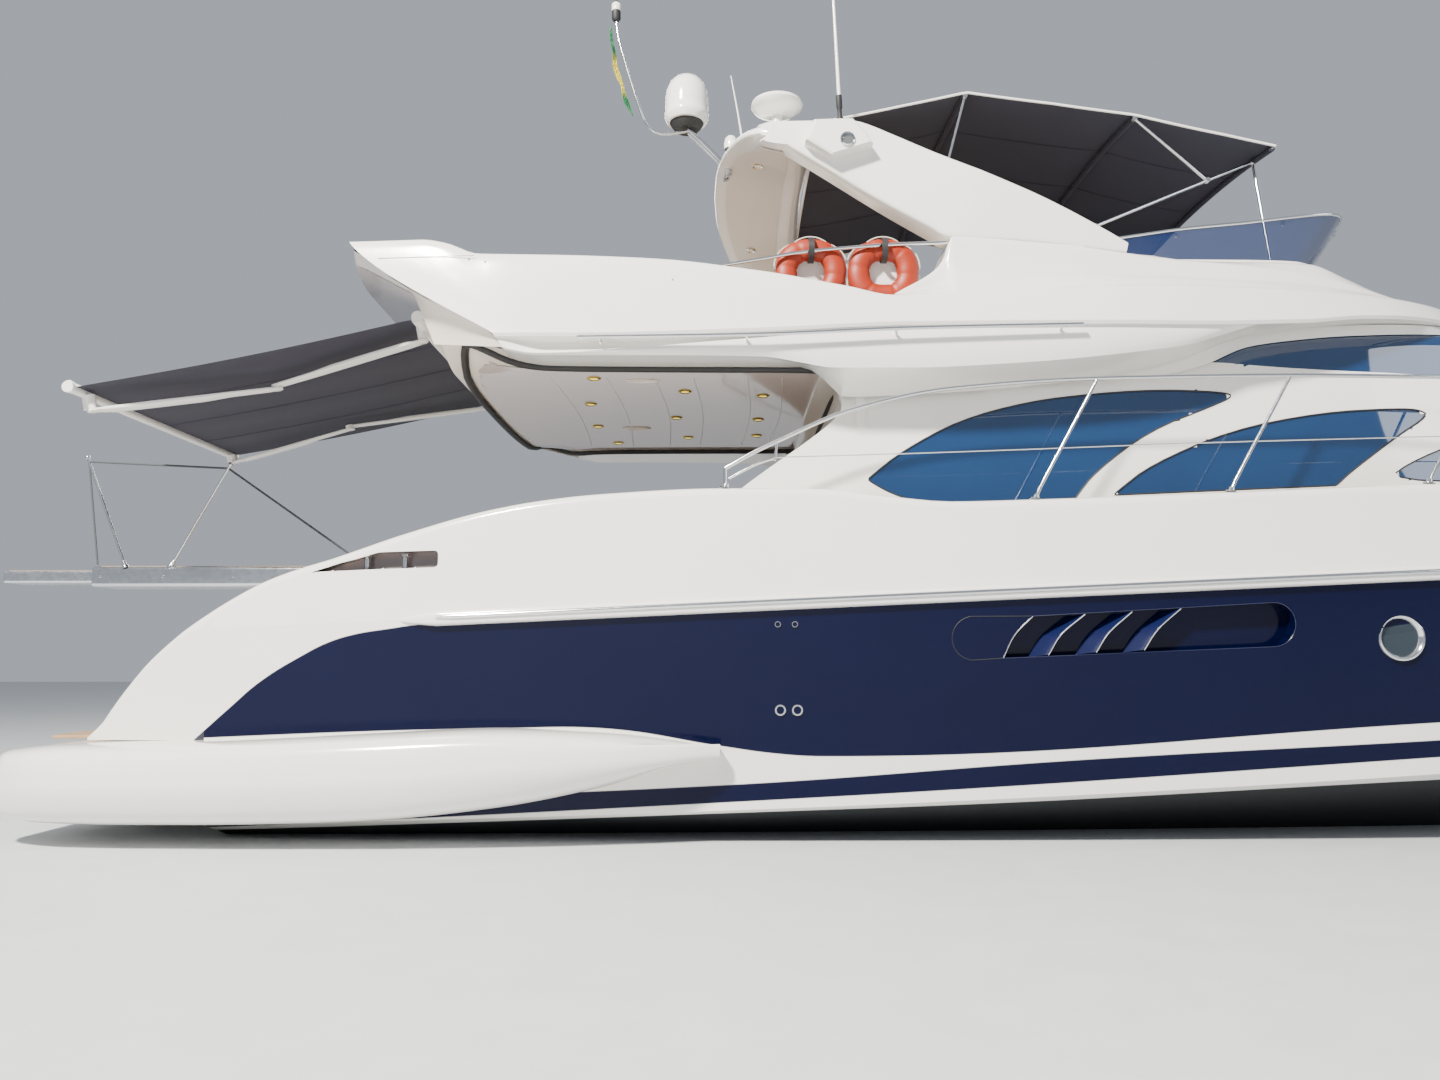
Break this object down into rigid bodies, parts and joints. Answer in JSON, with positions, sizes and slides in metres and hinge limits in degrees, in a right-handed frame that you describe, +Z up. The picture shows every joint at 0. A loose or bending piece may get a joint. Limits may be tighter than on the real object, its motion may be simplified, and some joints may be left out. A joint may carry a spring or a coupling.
{
  "type": "flybridge motor yacht",
  "caption": "Twin-engine flybridge motor yacht with raked radar arch, bimini, folding cockpit awning, stern gangway and swim platform.",
  "frame": {"origin": "amidships on the centreline at the waterline", "axes": "+X forward to the bow, +Y to port, +Z up"},
  "size_m": [21.615, 5.48, 9.5186],
  "materials": {
    "navy_hull": "polished navy gelcoat with white and blue boot stripes, black below the waterline",
    "white_gelcoat": "gloss warm white gelcoat, cream on the undersides",
    "teak": "oiled planks with dark caulking",
    "stainless": "polished",
    "bronze": "cast, dulled by the sea",
    "tinted_glass": "blue reflective tint",
    "blue_acrylic": "clear blue acrylic",
    "dark_canvas": "woven acrylic canvas, charcoal navy",
    "upholstery": "cream marine vinyl",
    "lifebuoy_orange": "orange shell with white bands",
    "engine_paint": "grey enamel"
  },
  "bodies": {
    "hull": {"hull": "navy_hull", "port_engine": "engine_paint", "starboard_engine": "engine_paint", "topsides": "white_gelcoat", "foredeck": "white_gelcoat", "teak_sole": "teak", "port_rub_rail": "stainless", "starboard_rub_rail": "stainless", "swim_platform": "white_gelcoat", "stern_steps": "white_gelcoat", "gangway_base": "white_gelcoat", "cockpit_sofa": "upholstery", "cockpit_table": "teak", "deckhouse": "white_gelcoat", "port_aft_window": "tinted_glass", "port_middle_window": "tinted_glass", "port_forward_window": "tinted_glass", "starboard_aft_window": "tinted_glass", "starboard_middle_window": "tinted_glass", "starboard_forward_window": "tinted_glass", "windscreen": "tinted_glass", "saloon_fixed_door": "tinted_glass", "saloon_sofa": "upholstery", "lower_dashboard": "white_gelcoat", "flybridge_moulding": "white_gelcoat", "flybridge_windscreen": "blue_acrylic", "flybridge_console": "white_gelcoat", "flybridge_helm_seat": "upholstery", "flybridge_sofa": "upholstery", "flybridge_table": "teak", "radar_arch": "white_gelcoat", "satellite_mast": "white_gelcoat", "bimini_canopy": "dark_canvas", "bimini_frame": "stainless", "awning_cassette": "white_gelcoat", "awning_cloth": "dark_canvas", "port_side_rail": "stainless", "starboard_side_rail": "stainless", "forward_lifebuoy": "lifebuoy_orange", "aft_lifebuoy": "lifebuoy_orange", "anchor": "stainless", "foredeck_sunpad": "upholstery", "port_shaft": "stainless", "starboard_shaft": "stainless"},
    "port_propeller": {"port_propeller": "bronze"},
    "starboard_propeller": {"starboard_propeller": "bronze"},
    "port_rudder": {"port_rudder": "bronze"},
    "starboard_rudder": {"starboard_rudder": "bronze"},
    "lower_wheel": {"lower_wheel": "stainless"},
    "flybridge_wheel": {"flybridge_wheel": "stainless"},
    "saloon_sliding_door": {"saloon_sliding_door": "tinted_glass"},
    "garage_door": {"garage_door": "white_gelcoat"},
    "gangway_outer": {"gangway_outer_stage": "stainless"},
    "gangway_inner": {"gangway_inner_stage": "stainless"},
    "foredeck_hatch": {"foredeck_hatch": "tinted_glass"},
    "awning_starboard_upper_arm": {"awning_starboard_upper_arm": "white_gelcoat"},
    "awning_starboard_forearm": {"awning_starboard_forearm": "white_gelcoat"},
    "awning_front_bar": {"awning_front_bar": "white_gelcoat"},
    "awning_port_upper_arm": {"awning_port_upper_arm": "white_gelcoat"},
    "awning_port_forearm": {"awning_port_forearm": "white_gelcoat"}
  },
  "joints": [
    {"name": "port_propeller_spin", "type": "hinge", "parent": "hull", "child": "port_propeller", "pos_m": [-8, 0.95, -0.86025], "axis": [0.9887, 0, 0.1502], "continuous": true},
    {"name": "starboard_propeller_spin", "type": "hinge", "parent": "hull", "child": "starboard_propeller", "pos_m": [-8, -0.95, -0.86025], "axis": [0.9887, 0, 0.1502], "continuous": true},
    {"name": "port_rudder_turn", "type": "hinge", "parent": "hull", "child": "port_rudder", "pos_m": [-8.76, 0.95, -0.7], "axis": [0, 0, 1], "range_deg": [-35, 35]},
    {"name": "starboard_rudder_turn", "type": "hinge", "parent": "hull", "child": "starboard_rudder", "pos_m": [-8.76, -0.95, -0.7], "axis": [0, 0, 1], "range_deg": [-35, 35]},
    {"name": "lower_wheel_turn", "type": "hinge", "parent": "hull", "child": "lower_wheel", "pos_m": [2.03, -0.95, 2.84], "axis": [-0.8776, 0, 0.4794], "range_deg": [-525, 525]},
    {"name": "flybridge_wheel_turn", "type": "hinge", "parent": "hull", "child": "flybridge_wheel", "pos_m": [-0.8, -0.775, 4.86], "axis": [-0.8776, 0, 0.4794], "range_deg": [-525, 525]},
    {"name": "saloon_door_slide", "type": "slide", "parent": "hull", "child": "saloon_sliding_door", "axis": [0, 1, 0], "range_m": [0, 0.9]},
    {"name": "garage_door_lift", "type": "hinge", "parent": "hull", "child": "garage_door", "pos_m": [-8.52, 0, 1.5], "axis": [0, 1, 0], "range_deg": [0, 62]},
    {"name": "gangway_lift", "type": "hinge", "parent": "hull", "child": "gangway_outer", "pos_m": [-7.8, 0.175, 2.22], "axis": [0, 1, 0], "range_deg": [-10, 15]},
    {"name": "gangway_extend", "type": "slide", "parent": "gangway_outer", "child": "gangway_inner", "axis": [1, 0, 0], "range_m": [0, 0.85]},
    {"name": "foredeck_hatch_lift", "type": "hinge", "parent": "hull", "child": "foredeck_hatch", "pos_m": [6.9, 0, 3.007], "axis": [0, 1, 0], "range_deg": [0, 60]},
    {"name": "awning_starboard_shoulder", "type": "hinge", "parent": "hull", "child": "awning_starboard_upper_arm", "pos_m": [-7.02425, -1.4, 4.195], "axis": [0.2028, 0, -0.9792], "range_deg": [0, 68], "deforming": ["awning_cloth"]},
    {"name": "awning_starboard_elbow", "type": "hinge", "parent": "awning_starboard_upper_arm", "child": "awning_starboard_forearm", "pos_m": [-8.45724, -1, 3.88289], "axis": [0.2028, 0, -0.9792], "range_deg": [-136, 0]},
    {"name": "awning_starboard_wrist", "type": "hinge", "parent": "awning_starboard_forearm", "child": "awning_front_bar", "pos_m": [-9.8904, -1.4, 3.5719], "axis": [0.2028, 0, -0.9792], "range_deg": [0, 68]},
    {"name": "awning_port_shoulder", "type": "hinge", "parent": "hull", "child": "awning_port_upper_arm", "pos_m": [-7.036, 1.4, 4.252], "axis": [0.2028, 0, -0.9792], "range_deg": [-68, 0]},
    {"name": "awning_port_elbow", "type": "hinge", "parent": "awning_port_upper_arm", "child": "awning_port_forearm", "pos_m": [-8.469, 1, 3.94], "axis": [0.2028, 0, -0.9792], "range_deg": [0, 136]}
  ],
  "couplings": [
    {"joint": "starboard_rudder_turn", "follows": "port_rudder_turn", "ratio": 1},
    {"joint": "lower_wheel_turn", "follows": "port_rudder_turn", "ratio": 15},
    {"joint": "flybridge_wheel_turn", "follows": "port_rudder_turn", "ratio": 15},
    {"joint": "awning_starboard_elbow", "follows": "awning_starboard_shoulder", "ratio": -2},
    {"joint": "awning_starboard_wrist", "follows": "awning_starboard_shoulder", "ratio": 1},
    {"joint": "awning_port_shoulder", "follows": "awning_starboard_shoulder", "ratio": -1},
    {"joint": "awning_port_elbow", "follows": "awning_starboard_shoulder", "ratio": 2}
  ]
}
